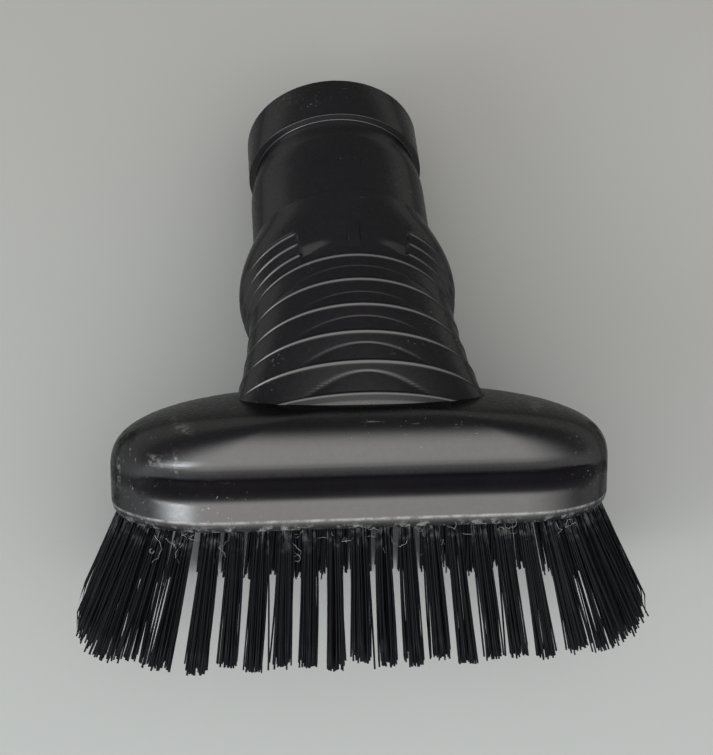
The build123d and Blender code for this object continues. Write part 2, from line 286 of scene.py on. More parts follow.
def ring_reach(k):
    """Distance along a ring's plane from the neck's front line to its back line.

    The back runs straight on from the tube and then turns in; the two lines meet softly.
    """
    d, n = front_line(k)
    tilt = ring_tilt(k)
    step = (-math.cos(tilt), -math.sin(tilt))
    reaches = []
    for point, heading in ((tube_point(0, -TUBE_R), TUBE_TURN), (BACK_END, BACK_HEADING)):
        along = (math.sin(heading), -math.cos(heading))
        cross = step[0] * along[1] - step[1] * along[0]
        gap = (point[0] - d, point[1] - n)
        reaches.append((gap[0] * along[1] - gap[1] * along[0]) / cross)
    a, b = reaches
    return (a + b - math.sqrt((a - b) ** 2 + BACK_SOFTNESS ** 2)) / 2 + BACK_PROUD


def ring_width(k):
    """Half width of the neck at k."""
    depth = RIB_START + k * RIB_PITCH
    if k < 0:
        start, top = TUBE_R - NECK_SUNK, LOBE_W - NECK_SUNK / 2
        rise = float(smooth_step(LOBE_START - 1.5, LOBE_TOP - 1, depth))
        fall = float(smooth_step(LOBE_TOP, RIB_START, depth))
        return start + rise * (top - start) - fall * (top - WAIST_W)
    return WAIST_W + (FOOT_W - WAIST_W) * (k / (RIB_COUNT - 1)) ** FOOT_SPREAD_POWER


# Drop below a crest by distance under it: the rounded lip that catches the light.
CREST_AT = (0.0, 0.05, 0.1, 0.16, 0.23, 0.3, 0.38, 0.48, 0.62)
CREST_DROP = (0.0, 0.008, 0.036, 0.087, 0.152, 0.214, 0.258, 0.282, 0.295)
FACE_DROP = (0.0, 0.0, 0.06, 0.16, 0.22)
SIDE_FACE_DROP = 0.4
# Share of the drop that is left over the last stretch above the next crest.
STEP_AT = (-0.52, -0.37, -0.27, -0.18, -0.09, 0.0)
STEP_LEFT = (1.0, 0.62, 0.32, 0.13, 0.035, 0.0)
# The scoop in each face: where its arch starts and ends, its step and what it gives back.
ARCH_START = (0.44, 0.5, 0.43, 0.36, 0.28)
ARCH_END_ANGLE = (58.0, 42.0, 40.0, 32.0, 27.0)
ARCH_DROP = (0.11, 0.11, 0.12, 0.16, 0.2)
ARCH_SOFT = 0.03
ARCH_GIVES_BACK = 1.8
ARCH_GIVES_BACK_BY = 0.93
ARCH_FADES_AT = 0.97
ARCH_FADES_OVER = 0.3
FOOT_AT = (0.0, 0.08, 0.16, 0.3, 1.25, 1.6, 2.2, 4.0)
FOOT_DROP_IN = (0.0, 0.01, 0.06, 0.16, 0.3, 0.44, 0.85, 2.0)
FOOT_ENDS = (52, 36)
# Between the side ribs: the plain middle and the facets, by side ribs above the first rib.
PLAIN_AT = (0, 1.0, SIDE_RIB_COUNT)
PLAIN_DROP = (0.5, 0.4, 0.0)
FACET_AT = (0, 0.8, 0.95, 1.55, 1.7)
FACET_DROP = (0.84, 0.84, 0.78, 0.06, 0.0)
LAST_SIDE_DROP = 0.35
# Angles from the front line between which one form turns into the next.
FACET_ANGLES = (10, 18)
SIDE_RIB_ANGLES = (29.5, 31.0)
SIDE_FADE_ANGLES = (50, 88)
BACK_ANGLES = (172, 140)
SIDE_FADE = 0.55


def below_crest(distance, pitch, face_drop):
    """Drop at a distance under a crest: the lip, the face that slopes in, the next step."""
    face = face_drop * max(distance - CREST_AT[-1], 0) / (pitch - CREST_AT[-1])
    drop = float(np.interp(distance, CREST_AT, CREST_DROP)) + face
    return drop * float(np.interp(distance - pitch, STEP_AT, STEP_LEFT))


def front_rib(k, degrees):
    """Relief under the crests in front, with a shallow scoop under an arch in each face."""
    row = min(int(math.floor(k)), RIB_COUNT - 1)
    t = k - row                     # share of the way down to the next crest
    distance = t * RIB_PITCH
    if row == RIB_COUNT - 1:
        foot = float(np.interp(distance, FOOT_AT, FOOT_DROP_IN))
        return foot * smooth_step(*FOOT_ENDS, degrees)
    arch = ARCH_START[row] + (1 - ARCH_START[row]) * (degrees / ARCH_END_ANGLE[row]) ** 2
    past = np.clip((t - arch) / np.maximum(ARCH_GIVES_BACK_BY - arch, 0.1), 0, 1)
    scoop = smooth_step(arch - ARCH_SOFT, arch + ARCH_SOFT, t) * (1 - ARCH_GIVES_BACK * past)
    scoop = scoop * np.clip((ARCH_FADES_AT - arch) / ARCH_FADES_OVER, 0, 1)
    step = float(np.interp(distance - RIB_PITCH, STEP_AT, STEP_LEFT))
    return below_crest(distance, RIB_PITCH, FACE_DROP[row]) + ARCH_DROP[row] * scoop * step


def side_rib(k, degrees):
    """Relief of the short ribs beside the neck, and the facets they end in."""
    t = -k * RIB_PITCH / SIDE_RIB_PITCH     # counts side ribs up from the first rib
    if t >= SIDE_RIB_COUNT + STEP_AT[0] / -SIDE_RIB_PITCH:
        return 0 * degrees
    distance = (math.ceil(t) - t) * SIDE_RIB_PITCH
    step = float(np.interp(distance - SIDE_RIB_PITCH, STEP_AT, STEP_LEFT))
    if t > SIDE_RIB_COUNT:
        rib = LAST_SIDE_DROP * step * math.sin(math.pi * (t - SIDE_RIB_COUNT))
    else:
        rib = below_crest(distance, SIDE_RIB_PITCH, SIDE_FACE_DROP)
    plain = float(np.interp(t, PLAIN_AT, PLAIN_DROP))
    facet = float(np.interp(t, FACET_AT, FACET_DROP))
    if t < 1:
        plain *= step
        facet *= step
    middle = plain + (facet - plain) * smooth_step(*FACET_ANGLES, degrees)
    beside = smooth_step(*SIDE_RIB_ANGLES, degrees)
    return rib * beside + middle * (1 - beside)


def rib_relief(k, angle):
    """How far the skin lies below the ribs' crests at k, for angles from the front line."""
    turned = np.abs((angle + np.pi) % (2 * np.pi) - np.pi)
    degrees = np.degrees(turned)
    relief = front_rib(k, degrees) if k >= 0 else side_rib(k, degrees)
    beside = 1 - SIDE_FADE * smooth_step(*SIDE_FADE_ANGLES, degrees)
    return relief * beside * smooth_step(*BACK_ANGLES, degrees) * RIB_DEPTH


def ring(k, inset, cols):
    """One loop of the neck, its points square to the ring's own outline moved in."""
    angle = np.linspace(0, 2 * np.pi, cols, endpoint=False)
    d, n = front_line(k)
    tilt = ring_tilt(k)
    half = ring_reach(k) / 2
    fuller = half * FULLER_FRONT * float(smooth_step(0, 3, k))
    width = ring_width(k)
    below = rib_relief(k, angle) + inset
    middle = half + fuller
    centre = np.array([d - middle * math.cos(tilt), n - middle * math.sin(tilt)])
    cos, sin = np.cos(angle), np.sin(angle)
    depth = np.where(cos > 0, half + fuller, half - fuller)
    square = 1 / np.sqrt((sin / width) ** 2 + (cos / depth) ** 2)
    out_x, out_y = sin / width * square, cos / depth * square
    x = width * sin - below * out_x
    y = depth * cos - below * out_y
    return np.stack([x, centre[0] + y * math.cos(tilt), centre[1] + y * math.sin(tilt)], 1)


# Where the neck's loops lie: above the side ribs, on the ribs' faces and at the foot's end.
PLAIN_LEVELS = np.linspace((LOBE_START - RIB_START) / RIB_PITCH, -1.75, 16)
SIDE_FACE_AT = (1.1, 1.4, 1.7, 2.0, 2.25)
FACE_LEVELS = np.linspace(0.15, 0.9, 48)
LAST_LEVEL = RIB_COUNT - 0.45
FOOT_SINKS_BY = (0, 1.5, 6.0)
FOOT_NARROWS_TO = 0.96


def neck_levels():
    """The levels of the neck's loops: close together at the ribs' lips, wider apart between."""
    levels = list(PLAIN_LEVELS)
    near = CREST_AT + STEP_AT[:-1]
    for n in range(SIDE_RIB_COUNT, 0, -1):
        for distance in near + SIDE_FACE_AT:
            levels.append((distance - n * SIDE_RIB_PITCH) / RIB_PITCH)
    for k in range(RIB_COUNT):
        levels += [k + distance / RIB_PITCH for distance in near]
        levels += [k + share for share in FACE_LEVELS]
    return [k for k in sorted(set(round(k, 4) for k in levels)) if k < LAST_LEVEL]


def neck_loops(cols):
    """The neck's loops, the last one sunk into the head."""
    loops = [ring(k, 0, cols) for k in neck_levels()]
    middle = loops[-1].mean(0)
    sunk = loops[-1] - FOOT_SINKS_BY
    sunk[:, 0] = middle[0] + (sunk[:, 0] - middle[0]) * FOOT_NARROWS_TO
    loops.append(sunk)
    return loops


neck = closed_loops("neck_form", neck_loops(208))


# Head shell
def stadium(half_length, radius, cols):
    """Points of an oblong with round ends, evenly spaced from its front's middle, as (x, d)."""
    straight = half_length - radius
    arc = math.pi * radius
    length = 4 * straight + 2 * arc
    points = np.zeros((cols, 2))
    for i in range(cols):
        s = i / cols * length
        if s < straight:
            points[i] = (s, radius)
        elif s < straight + arc:
            a = (s - straight) / radius
            points[i] = (straight + radius * math.sin(a), radius * math.cos(a))
        elif s < 3 * straight + arc:
            points[i] = (2 * straight + arc - s, -radius)
        elif s < 3 * straight + 2 * arc:
            a = (s - 3 * straight - arc) / radius
            points[i] = (-straight - radius * math.sin(a), -radius * math.cos(a))
        else:
            points[i] = (s - length, radius)
    return points


def head_share(rise):
    """Share of the head's length and back that is left at a rise up its crown."""
    return (1 - rise ** HEAD_ROUNDNESS) ** (1 / HEAD_ROUNDNESS)


def brow_share(rise):
    """Share of the head's front that is left: the brow stays full for longer."""
    turned = max(0, rise - BROW_START) / (BROW_END - BROW_START)
    return (1 - turned ** BROW_ROUNDNESS) ** (1 / BROW_ROUNDNESS)


# The recess under the brow, from the band's lip up: height over the rim and depth.
RECESS_AT = (
    4.9, 5.1, 5.35, 5.6, 5.85, 6.1, 6.4,
    8.7, 9.4, 9.9, 10.4, 10.8, 11.2, 11.6, 12.0, 12.4, 13.0,
)
RECESS_IN = (
    0.0, 0.008, 0.035, 0.09, 0.18, 0.33, 0.56,
    2.7, 1.55, 1.15, 0.82, 0.58, 0.38, 0.22, 0.11, 0.04, 0.0,
)
RECESS_DEEPEST_AT = RECESS_AT[RECESS_IN.index(max(RECESS_IN))]
# Towards the head's ends the recess runs out between these distances from the middle.
RECESS_FULL_TO = 36.0
RECESS_GONE_AT = 46.6
# Heights of the head's loops, and rises of those that round its top.
WALL_LEVELS = (3, 4.5)
BROW_LEVELS = np.linspace(6.73, 13.43, 24)
CROWN_LEVELS = np.linspace(13.8, 19.5, 34)
TOP_RISES = (0.915, 0.93, 0.945, 0.96, 0.972, 0.982, 0.99)


def recess_depth(level):
    """Depth of the recess at a height over the rim."""
    return float(np.interp(level, RECESS_AT, RECESS_IN))


def head_loop(level, rise, inset, cols):
    """The head's outline at a height: an oblong whose front moves back where the recess is."""
    half_length = (HEAD_W - inset) * head_share(rise)
    front = (HEAD_R - inset) * brow_share(rise)
    back = (HEAD_R - inset) * head_share(rise)
    pts = stadium(half_length, (front + back) / 2, cols)
    pts[:, 1] += (front - back) / 2
    in_front = smooth_step(0, front / 2, pts[:, 1])
    not_at_ends = smooth_step(RECESS_GONE_AT, RECESS_FULL_TO, np.abs(pts[:, 0]))
    pts[:, 1] -= recess_depth(level) * in_front * not_at_ends
    return np.column_stack([pts, np.full(cols, level)])


def head_loops(cols):
    """The head's outlines from the rim to the top of its crown."""
    loops = [head_loop(up, 0, inset, cols) for up, inset in RIM_BEVEL]
    for level in (*WALL_LEVELS, *RECESS_AT, *BROW_LEVELS, *CROWN_LEVELS):
        loops.append(head_loop(level, max(0, level - HEAD_WALL_UP) / HEAD_CROWN, 0, cols))
    for rise in TOP_RISES:
        loops.append(head_loop(HEAD_WALL_UP + rise * HEAD_CROWN, rise, 0, cols))
    loops.sort(key=lambda loop: loop[0, 2])
    return loops


head = closed_loops("head_form", head_loops(360))

# Hollow
CUTS_RUN_OUT = 3.0
PLENUM_WALL = SHELL_WALL + 1.2
PLENUM_LEVELS = (PLATE_THICK - 1, HEAD_WALL_UP, RECESS_DEEPEST_AT)
PLENUM_RISES = (0.22, 0.36, 0.5, 0.62, 0.72, 0.8, 0.87, 0.93, 0.985)
PASSAGE_WALL = 3.4
PASSAGE_SINKS_BY = (0, 1.0, 7.0)
PASSAGE_NARROWS_TO = (0.94, 1, 1)


def pocket_loops(cols):
    """The plate's pocket in the mouth of the head."""
    pts = stadium(HEAD_W - PLATE_WALL, HEAD_R - PLATE_WALL, cols)
    return [np.column_stack([pts, np.full(cols, n)]) for n in (-CUTS_RUN_OUT, PLATE_THICK)]


def plenum_loops(cols):
    """The hollow of the head above the plate."""
    loops = [head_loop(level, 0, PLENUM_WALL, cols) for level in PLENUM_LEVELS]
    for rise in PLENUM_RISES:
        level = HEAD_WALL_UP + rise * (HEAD_CROWN - SHELL_WALL)
        loops.append(head_loop(level, rise, PLENUM_WALL, cols))
    return loops


def passage_loops(cols):
    """The way from the bore through the neck into the head."""
    angle = np.linspace(0, 2 * np.pi, cols, endpoint=False)
    loops = []
    for depth in (BORE_LENGTH - 0.5, BORE_LENGTH + 3):
        d, n = tube_point(depth, PASSAGE_R * np.cos(angle))
        loops.append(np.stack([PASSAGE_R * np.sin(angle), d, n], 1))
    loops += [ring(k, PASSAGE_WALL, cols) for k in range(RIB_COUNT)]
    loops.append(loops[-1] * PASSAGE_NARROWS_TO - PASSAGE_SINKS_BY)
    return loops


pocket = closed_loops("pocket_form", pocket_loops(200))
plenum = closed_loops("plenum_form", plenum_loops(160))
bore = lathe("bore_form", [(-CUTS_RUN_OUT, BORE_R), (0, BORE_R), (BORE_LENGTH, BORE_R)], 128)
passage = closed_loops("passage_form", passage_loops(96))


# The housing's skin
SHARP_FROM = math.radians(24)


def combine(target, others, operation):
    """Adds other forms to a target or cuts them out of it, and removes them."""
    for other in others:
        mod = target.modifiers.new(operation.lower(), "BOOLEAN")
        mod.operation = operation
        mod.object = other
        mod.solver = "MANIFOLD"
    dg = bpy.context.evaluated_depsgraph_get()
    mesh = bpy.data.meshes.new_from_object(target.evaluated_get(dg))
    target.modifiers.clear()
    target.data = mesh
    for other in others:
        bpy.data.objects.remove(other)


def smooth(obj):
    """Shades all faces smoothly."""
    for poly in obj.data.polygons:
        poly.use_smooth = True


combine(head, [neck, tube, key], "UNION")
combine(head, [pocket, plenum, bore, passage], "DIFFERENCE")
housing = head
housing.name = "housing_skin"
smooth(housing)
housing.data.set_sharp_from_angle(angle=SHARP_FROM)

# Tufts
FILAMENTS = 40
FILAMENT_R = 0.175
FILAMENT_R_VARIES = 0.12
SIDES = 5
STEPS = 7
GOLDEN_TURN = math.pi * (3 - math.sqrt(5))      # fills a round bundle evenly
TURN_VARIES = 0.25
ROOT_SPREAD = 1.3
ROOT_SUNK = 1.5
SPLAY = 1.35
SPLAY_VARIES = 0.12
END_SPLAY = 0.7                     # what the tufts at the head's ends splay more
END_TUFTS = (26, 38)                # distances from the middle where they begin to, and fully do
TIP_VARIES = 0.16
LENGTH_VARIES = 0.034
STRAY_SHARE = 0.06
STRAY_BY = 0.7
ROOTS_OVER = 0.5
TIPS_UNDER = -20


def tuft_spots():
    """Each tuft's node with its root on the rim's plane, its tip and its lowest level."""
    spots = []
    for name in sorted(frame["nodes"]):
        if not name.startswith("tuft_"):
            continue
        co = np.array([v.co for v in frame["nodes"][name].data.vertices], float)
        local = (co - np.array(RIM)) / MM
        pts = np.stack([local[:, 0], local @ np.array(FRONT), local @ np.array(UP)], 1)
        root = pts[pts[:, 2] > ROOTS_OVER].mean(0)
        tip = pts[pts[:, 2] < TIPS_UNDER].mean(0)
        spots.append((name, np.array([root[0], root[1], 0.0]), tip, pts[:, 2].min()))
    return spots


def filament_set(root, tip, reach):
    """Points and faces of one tuft's filaments: thin rods that splay, bend and end unevenly."""
    heading = tip - root
    heading /= np.linalg.norm(heading)
    side = np.cross(heading, [0, 0, 1.0])
    side = side / np.linalg.norm(side) if np.linalg.norm(side) > 1e-3 else np.array([1.0, 0, 0])
    across = np.cross(heading, side)
    full = abs(reach) / abs(heading[2])
    wider = 1 + END_SPLAY * float(smooth_step(*END_TUFTS, abs(root[0])))
    points, faces = [], []
    for i in range(FILAMENTS):
        r = ROOT_SPREAD * math.sqrt((i + 0.5) / FILAMENTS)
        a = i * GOLDEN_TURN + rng.uniform(-TURN_VARIES, TURN_VARIES)
        foot = r * (math.cos(a) * side + math.sin(a) * across)
        splay = wider * SPLAY * (1 + SPLAY_VARIES * rng.standard_normal())
        end = foot * splay + rng.normal(0, TIP_VARIES, 3)
        length = full * (1 - abs(rng.normal(0, LENGTH_VARIES)))
        if rng.random() < STRAY_SHARE:
            end += rng.normal(0, STRAY_BY, 3)
        bend = rng.normal(0, TIP_VARIES, 3)
        start = root + foot + [0, 0, ROOT_SUNK]
        stop = root + heading * length + end
        radius = FILAMENT_R * rng.uniform(1 - FILAMENT_R_VARIES, 1 + FILAMENT_R_VARIES)
        first = len(points)
        twist = rng.uniform(0, 2 * math.pi)
        for s in range(STEPS + 1):
            t = s / STEPS
            centre = start + (stop - start) * t + bend * 4 * t * (1 - t)
            for j in range(SIDES):
                b = twist + 2 * math.pi * j / SIDES
                points.append(centre + radius * (math.cos(b) * side + math.sin(b) * across))
        faces += grid_faces(STEPS + 1, SIDES, first)
        faces.append(tuple(first + STEPS * SIDES + j for j in range(SIDES)))
    return np.array(points), faces


LOW, HIGH = [np.array(corner) for corner in SIZE_BEFORE]
INSIDE_BOX_BY = 2e-5


def clamp_to_frame(obj):
    """Keeps loose ends inside the box of the whole part."""
    co = np.array([v.co for v in obj.data.vertices], float)
    co = np.clip(co, LOW + INSIDE_BOX_BY, HIGH - INSIDE_BOX_BY)
    obj.data.vertices.foreach_set("co", co.ravel())
    obj.data.update()


tufts = []
for name, root, tip, reach in tuft_spots():
    tuft = mesh_object(name + "_filaments", *filament_set(root, tip, reach))
    clamp_to_frame(tuft)
    smooth(tuft)
    tufts.append((tuft, name))

# Lint: curly hairs caught between the front roots
LINT_COUNT = 44
LINT_R = 0.032
LINT_SIDES = 4
LINT_STEPS = 14
LINT_CURL = 0.45
LINT_LENGTHS = (3, 8)
LINT_WITHIN = 40
LINT_FRONT = HEAD_R - 2.2
LINT_DROP = 0.3
LINT_DROP_VARIES = 1.8
LINT_FORWARD = 0.1
LINT_DOWN = -0.4
ANY_HEADING = (0.31, 0.77, 0.55)    # no hair runs along it


def hair_path(start, heading, length):
    """A hair's centre line that wanders as it goes."""
    path = [np.array(start, float)]
    heading = np.array(heading, float)
    heading /= np.linalg.norm(heading)
    for _ in range(LINT_STEPS):
        heading = heading + rng.normal(0, LINT_CURL, 3)
        heading /= np.linalg.norm(heading)
        path.append(path[-1] + heading * length / LINT_STEPS)
    return path


def hair_points(path):
    """Points of a thin tube along a path."""
    points = []
    for i, centre in enumerate(path):
        ahead = path[min(i + 1, len(path) - 1)] - path[max(i - 1, 0)]
        side = np.cross(ahead, ANY_HEADING)
        side /= np.linalg.norm(side)
        across = np.cross(ahead, side)
        across /= np.linalg.norm(across)
        for j in range(LINT_SIDES):
            a = 2 * math.pi * j / LINT_SIDES
            points.append(centre + LINT_R * (math.cos(a) * side + math.sin(a) * across))
    return points


def lint_hairs():
    """Hairs that start at the front rim and lie across the roots, in one mesh."""
    points, faces = [], []
    for _ in range(LINT_COUNT):
        x = rng.uniform(-LINT_WITHIN, LINT_WITHIN)
        drop = LINT_DROP + abs(rng.normal(0, LINT_DROP_VARIES))
        heading = (rng.normal(0, 1), LINT_FORWARD, LINT_DOWN)
        path = hair_path((x, LINT_FRONT, -drop), heading, rng.uniform(*LINT_LENGTHS))
        faces += grid_faces(LINT_STEPS + 1, LINT_SIDES, len(points))
        points += hair_points(path)
    obj = mesh_object("lint_hairs", points, faces)
    clamp_to_frame(obj)
    return obj


lint = lint_hairs()


# Shader values
def node_material(name):
    """An empty material with one principled shader."""
    mat = bpy.data.materials.new(name)
    mat.use_nodes = True
    tree = mat.node_tree
    tree.nodes.clear()
    out = tree.nodes.new("ShaderNodeOutputMaterial")
    shader = tree.nodes.new("ShaderNodeBsdfPrincipled")
    tree.links.new(shader.outputs["BSDF"], out.inputs["Surface"])
    return mat, tree, shader


def reckon(tree, kind, operation, values):
    """A math node of a kind, fed with shader values and plain constants."""
    node = tree.nodes.new(kind)
    node.operation = operation
    for socket, value in zip(node.inputs, values):
        if isinstance(value, bpy.types.NodeSocket):
            tree.links.new(value, socket)
        else:
            socket.default_value = value
    return node


def number(tree, operation, *values):
    """A number worked out from shader values or constants."""
    return reckon(tree, "ShaderNodeMath", operation, values).outputs[0]


def vector(tree, operation, *values):
    """A vector worked out from shader values or constants."""
    return reckon(tree, "ShaderNodeVectorMath", operation, values).outputs["Vector"]


def dot_product(tree, *values):
    """The dot product of two vectors, shader values or constants."""
    return reckon(tree, "ShaderNodeVectorMath", "DOT_PRODUCT", values).outputs["Value"]


def times(tree, a, b):
    return number(tree, "MULTIPLY", a, b)


def larger(tree, a, b):
    return number(tree, "MAXIMUM", a, b)


def spread(tree, source, low, high, first=0.0, last=1.0):
    """A shader value from one range on another, held at both ends."""
    node = tree.nodes.new("ShaderNodeMapRange")
    node.inputs["From Min"].default_value = low
    node.inputs["From Max"].default_value = high
    node.inputs["To Min"].default_value = first
    node.inputs["To Max"].default_value = last
    tree.links.new(source, node.inputs["Value"])
    return node.outputs["Result"]


def position(tree):
    """Where a point of the surface lies."""
    return tree.nodes.new("ShaderNodeNewGeometry").outputs["Position"]


def noise(tree, place, scale, detail, roughness):
    """A cloudy value from 0 to 1 at a place."""
    node = tree.nodes.new("ShaderNodeTexNoise")
    node.inputs["Scale"].default_value = scale
    node.inputs["Detail"].default_value = detail
    node.inputs["Roughness"].default_value = roughness
    tree.links.new(place, node.inputs["Vector"])
    return node.outputs["Fac"]


def ramp(tree, source, stops):
    """A colour that goes from one stop, (place, colour), to the next."""
    node = tree.nodes.new("ShaderNodeValToRGB")
    tree.links.new(source, node.inputs["Fac"])
    for element, (at, colour) in zip(node.color_ramp.elements, stops):
        element.position = at
        element.color = (*colour, 1)
    return node.outputs["Color"]


def mixed(tree, share, a, b):
    """A colour that goes from a to b, each a shader value or a constant."""
    node = tree.nodes.new("ShaderNodeMix")
    node.data_type = "RGBA"
    tree.links.new(share, node.inputs["Factor"])
    for socket, value in (("A", a), ("B", b)):
        target = [i for i in node.inputs if i.name == socket and i.type == "RGBA"][0]
        if isinstance(value, tuple):
            target.default_value = (*value, 1)
        else:
            tree.links.new(value, target)
    return [o for o in node.outputs if o.type == "RGBA"][0]


def stretched(tree, scale, turn):
    """Position turned and stretched, for scratches that run one way."""
    node = tree.nodes.new("ShaderNodeMapping")
    node.inputs["Scale"].default_value = scale
    node.inputs["Rotation"].default_value = turn
    tree.links.new(position(tree), node.inputs["Vector"])
    return node.outputs["Vector"]


def distance_along(tree, heading):
    """Distance from the middle of the rim along a heading, in millimetres."""
    along = dot_product(tree, position(tree), tuple(heading))
    return number(tree, "MULTIPLY_ADD", along, 1 / MM, -RIM.dot(heading) / MM)


# Materials, with places in millimetres of the head's frame
DUST_UP = 1.95
DUST_COLOUR = (0.22, 0.23, 0.23)
SCUFFED_FROM = 33.0
SCUFFED_FULLY = 43.0
# Rubbed marks in front: place (x, n) and reach across and up.
SCARS = (
    ((-35.2, 12.4), (0.5, 2.7)),
    ((-45.8, 8.6), (0.45, 3.3)),
    ((-39.0, 12.6), (1.6, 1.2)),
    ((-34.0, 17.9), (2.4, 0.8)),
    ((32.6, 19.2), (2.2, 0.35)),
)
GLOSS = 0.62
GLOSS_TURNED_AWAY = 0.03
GLOSS_FADES = (0.36, 0.66)
# Painted shade in the recess under the brow: the heights over which its gloss is turned down, and
# the share of gloss left there.
RECESS_SHADE_FROM_BELOW = (6.2, 7.2)
RECESS_SHADE_FROM_ABOVE = (9.9, 8.6)
RECESS_SHADE_LEAVES = 0.35
# Noises: scale per metre, detail and roughness
CLOUDS = (60, 5, 0.6)
GRAIN = (900, 3, 0.5)
WORN_PATCHES = (55, 3, 0.5)
SPECKS = (1500, 2, 0.5)
SCRATCHES = (160, 4, 0.65)
SCRATCHES_DRAWN = ((0.6, 9, 9), (0.3, 0.5, 0.9))
SCUFFS = (240, 4, 0.6)
RAGGED_EDGES = (1100, 4, 0.7)
FINE_DUST = (500, 4, 0.7)
# Painted shade on the floor: its colour is darker and warmer towards the far side, lighter and
# cooler near the light.
FLOOR_FAR = 0.12
FLOOR_NEAR = -0.1
FLOOR_SHADED_COLOUR = (0.232, 0.231, 0.222)
FLOOR_LIT_COLOUR = (0.287, 0.301, 0.3)


def wear_share(tree, at, ends):
    """Rubbed specks and scratches, in patches and all over the head's ends."""
    patches = larger(tree, spread(tree, noise(tree, at, *WORN_PATCHES), 0.52, 0.66), ends)
    specks = spread(tree, noise(tree, at, *SPECKS), 0.69, 0.74)
    drawn = stretched(tree, *SCRATCHES_DRAWN)
    scratches = spread(tree, noise(tree, drawn, *SCRATCHES), 0.66, 0.72)
    return times(tree, times(tree, larger(tree, specks, scratches), patches), 0.55)


def dust_share(tree, at, up):
    """A line of dust along the rim's bevel and a ragged film under it."""
    fine = noise(tree, at, *FINE_DUST)
    from_below = spread(tree, up, DUST_UP - 0.5, DUST_UP)
    from_above = spread(tree, up, DUST_UP + 0.3, DUST_UP)
    uneven = spread(tree, fine, 0.38, 0.6, 0.1, 0.65)
    line = times(tree, times(tree, from_below, from_above), uneven)
    film = times(tree, spread(tree, up, 1.5, 0.6), spread(tree, fine, 0.5, 0.62))
    return larger(tree, line, times(tree, film, 0.45))


def scar_share(tree, across, up, place, reach):
    """A rubbed mark around a place (x, n), fading over its reach both ways."""
    aside = spread(tree, across, place[0] - reach[0], place[0] + reach[0], -1.0, 1.0)
    above = spread(tree, up, place[1] - reach[1], place[1] + reach[1], -1.0, 1.0)
    away = larger(tree, number(tree, "ABSOLUTE", aside), number(tree, "ABSOLUTE", above))
    return spread(tree, away, 1.0, 0.3)


def gloss_level(tree, up, in_front):
    """Gloss that fades where the moulding turns away, and painted shade in the recess: its gloss is
    turned down there to darken it as shade would.
    """
    facing = tree.nodes.new("ShaderNodeLayerWeight").outputs["Facing"]
    gloss = spread(tree, facing, *GLOSS_FADES, GLOSS, GLOSS_TURNED_AWAY)
    # Painted shade: less gloss in the recess darkens it.
    recess_shade = times(tree, spread(tree, up, *RECESS_SHADE_FROM_BELOW), spread(tree, up, *RECESS_SHADE_FROM_ABOVE))
    unshaded = spread(tree, times(tree, recess_shade, in_front), 0.0, 1.0, 1.0, RECESS_SHADE_LEAVES)
    return times(tree, gloss, unshaded)


def housing_material():
    """Satin charcoal moulding: faint grain, rubbed marks and scratches, dust at the rim."""
    mat, tree, shader = node_material("moulded_housing")
    at = position(tree)
    across = distance_along(tree, Vector((1, 0, 0)))
    up = distance_along(tree, UP)
    in_front = spread(tree, distance_along(tree, FRONT), 2.0, 5.0)
    ends = spread(tree, number(tree, "ABSOLUTE", across), SCUFFED_FROM, SCUFFED_FULLY)
    marks = larger(tree, wear_share(tree, at, ends), dust_share(tree, at, up))
    ragged = spread(tree, noise(tree, at, *RAGGED_EDGES), 0.45, 0.66, 0.0, 0.55)
    for place, reach in SCARS:
        rub = times(tree, scar_share(tree, across, up, place, reach), ragged)
        marks = larger(tree, marks, times(tree, rub, in_front))
    cloud = noise(tree, at, *CLOUDS)
    tint = ramp(tree, cloud, [(0.3, (0.0036, 0.0032, 0.0042)), (0.7, (0.0055, 0.0049, 0.0062))])
    tree.links.new(mixed(tree, marks, tint, DUST_COLOUR), shader.inputs["Base Color"])
    grain = noise(tree, at, *GRAIN)
    scuffed = times(tree, ends, spread(tree, noise(tree, at, *SCUFFS), 0.4, 0.62))
    rubbed = larger(tree, times(tree, marks, 0.8), times(tree, scuffed, 0.5))
    rough = larger(tree, spread(tree, grain, 0.3, 0.7, 0.25, 0.32), rubbed)
    tree.links.new(rough, shader.inputs["Roughness"])
    tree.links.new(gloss_level(tree, up, in_front), shader.inputs["Specular IOR Level"])
    bump = tree.nodes.new("ShaderNodeBump")
    bump.inputs["Strength"].default_value = 0.05
    bump.inputs["Distance"].default_value = 0.0001
    tree.links.new(grain, bump.inputs["Height"])
    tree.links.new(bump.outputs["Normal"], shader.inputs["Normal"])
    return mat


def plain_material(name, grain, dark, light, roughness, metallic=0.0):
    """One tint that clouds from dark to light."""
    mat, tree, shader = node_material(name)
    cloud = noise(tree, position(tree), *grain)
    tree.links.new(ramp(tree, cloud, [(0.3, dark), (0.75, light)]), shader.inputs["Base Color"])
    shader.inputs["Roughness"].default_value = roughness
    shader.inputs["Metallic"].default_value = metallic
    return mat


def bristle_material():
    """Black filaments, greyed with dust near their roots."""
    mat, tree, shader = node_material("stiff_bristle")
    at = position(tree)
    cloud = noise(tree, at, 400, 3, 0.5)
    tint = ramp(tree, cloud, [(0.3, (0.0008, 0.0013, 0.0022)), (0.75, (0.002, 0.003, 0.0045))])
    root = spread(tree, distance_along(tree, UP), -4.5, 0.5, 0.0, 0.5)
    dusty = spread(tree, noise(tree, at, 600, 3, 0.6), 0.48, 0.66)
    colour = mixed(tree, times(tree, root, dusty), tint, (0.13, 0.14, 0.14))
    tree.links.new(colour, shader.inputs["Base Color"])
    shader.inputs["Roughness"].default_value = 0.5
    shader.inputs["Specular IOR Level"].default_value = 0.1
    return mat


